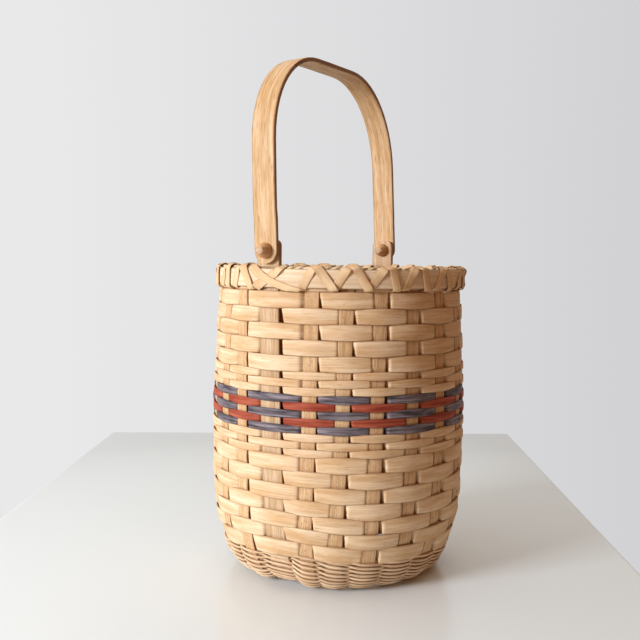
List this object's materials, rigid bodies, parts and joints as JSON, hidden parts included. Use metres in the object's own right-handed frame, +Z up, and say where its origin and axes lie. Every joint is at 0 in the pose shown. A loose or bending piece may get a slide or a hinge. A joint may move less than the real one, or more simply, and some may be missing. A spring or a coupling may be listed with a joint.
{
  "type": "splint basket",
  "caption": "Round splint basket with a twined foot, a band of dyed weavers, a lashed double-hoop rim and a bentwood bail that swings on pegged ears.",
  "frame": {"origin": "centre of the footprint, on the surface that the basket stands on", "axes": "+Z up through the rim; the bail's hinge line lies along X, 8.5 mm to the +Y side of the middle as in the picture"},
  "size_m": [0.252, 0.2376, 0.4635],
  "materials": {
    "reed_natural": "bare flat and round reed, warm tan",
    "reed_blue": "reed dyed slate blue, matt",
    "reed_red": "reed dyed rust red, matt",
    "hardwood": "smooth oiled hardwood"
  },
  "bodies": {
    "basket": {"ear_left": "hardwood", "ear_right": "hardwood", "pivot_cap_inner_left": "hardwood", "pivot_cap_inner_right": "hardwood", "pivot_cap_outer_left": "hardwood", "pivot_cap_outer_right": "hardwood", "pivot_pin_left": "hardwood", "pivot_pin_right": "hardwood", "rim_filler_back": "reed_natural", "rim_filler_front": "reed_natural", "rim_hoop_inner": "reed_natural", "rim_hoop_outer": "reed_natural", "rim_lashing_1": "reed_natural", "rim_lashing_2": "reed_natural", "rim_row": "reed_natural", "stake_cross_1": "reed_natural", "stake_cross_2": "reed_natural", "stake_cross_3": "reed_natural", "stake_cross_4": "reed_natural", "stake_cross_5": "reed_natural", "stake_cross_6": "reed_natural", "stake_long_1": "reed_natural", "stake_long_2": "reed_natural", "stake_long_3": "reed_natural", "stake_long_4": "reed_natural", "twining_strand_1": "reed_natural", "twining_strand_2": "reed_natural", "weaver_01_natural": "reed_natural", "weaver_02_natural": "reed_natural", "weaver_03_natural": "reed_natural", "weaver_04_natural": "reed_natural", "weaver_05_natural": "reed_natural", "weaver_06_natural": "reed_natural", "weaver_07_natural": "reed_natural", "weaver_08_natural": "reed_natural", "weaver_09_blue": "reed_blue", "weaver_10_red": "reed_red", "weaver_11_blue": "reed_blue", "weaver_12_red": "reed_red", "weaver_13_blue": "reed_blue", "weaver_14_natural": "reed_natural", "weaver_15_natural": "reed_natural", "weaver_16_natural": "reed_natural", "weaver_17_natural": "reed_natural", "weaver_18_natural": "reed_natural", "weaver_19_natural": "reed_natural", "weaver_20_natural": "reed_natural", "weaver_21_natural": "reed_natural", "weaver_22_natural": "reed_natural", "weaver_23_natural": "reed_natural"},
    "bail": {"handle": "hardwood"}
  },
  "joints": [
    {"name": "handle_swing", "type": "hinge", "parent": "basket", "child": "bail", "pos_m": [0, 0.0085, 0.29319], "axis": [1, 0, 0], "range_deg": [-87.6, 92.4]}
  ]
}
